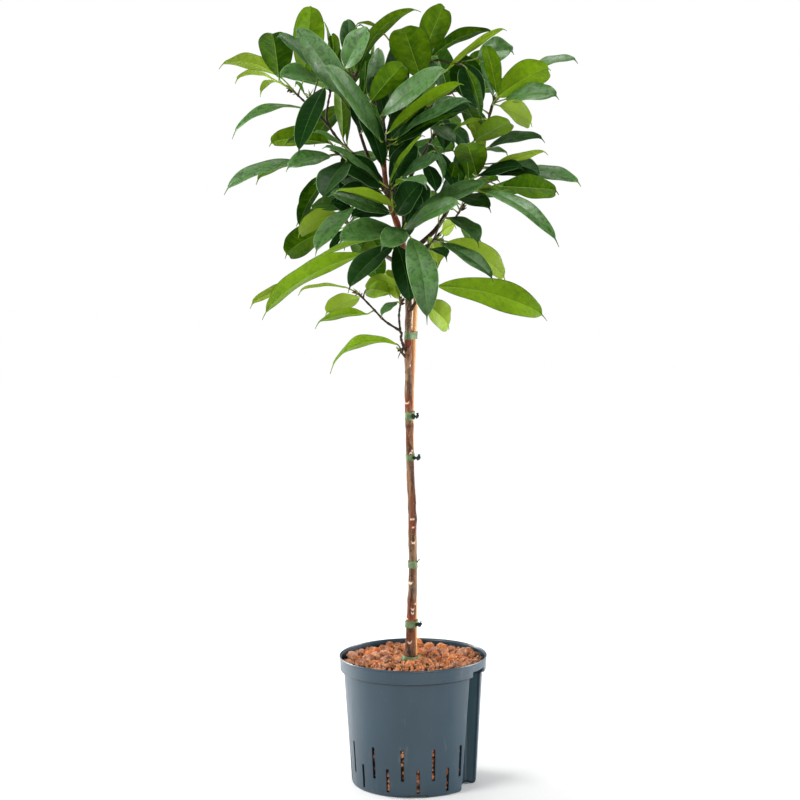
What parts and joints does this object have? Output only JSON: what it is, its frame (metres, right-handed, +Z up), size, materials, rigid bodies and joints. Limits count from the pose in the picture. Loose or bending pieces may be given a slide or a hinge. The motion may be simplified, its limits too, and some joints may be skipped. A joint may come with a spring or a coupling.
{
  "type": "potted standard fig",
  "caption": "Standard fig tree: ball of long leathery leaves on a bare staked trunk, in a round plastic culture pot filled with fired-clay granulate.",
  "frame": {"origin": "middle of the pot's flat foot, on the surface that the pot stands on", "axes": "+Z up along the trunk, -Y towards the front that the picture shows, +X to its right"},
  "size_m": [0.5164, 0.4483, 1.1438],
  "materials": {
    "pot_plastic": "smooth blue-grey, slightly satin",
    "fired_clay": "rough broken fired clay",
    "bark": "rough bark",
    "cane": "smooth dry cane",
    "tie_tape": "soft green tape",
    "leaf": "leathery, semi-gloss"
  },
  "bodies": {
    "root": {"pot": "pot_plastic", "granulate": "fired_clay", "trunk": "bark", "stake": "cane", "tie_1": "tie_tape", "tie_2": "tie_tape", "tie_3": "tie_tape", "tie_4": "tie_tape", "tie_5": "tie_tape", "tape_loose": "tie_tape", "leaf_low": "leaf", "spray_left_high": "leaf", "spray_left": "leaf", "spray_leader": "leaf", "spray_crown_left": "leaf", "spray_middle": "leaf", "spray_inner": "leaf", "spray_front": "leaf", "spray_left_low": "leaf", "spray_right_low": "leaf", "spray_twig": "leaf", "spray_right_twig": "leaf", "spray_right": "leaf", "spray_right_high": "leaf", "spray_top": "leaf", "spray_back_high": "leaf", "spray_back_right": "leaf", "spray_back_left": "leaf", "spray_back_crown": "leaf", "spray_back_rise": "leaf"}
  },
  "joints": []
}
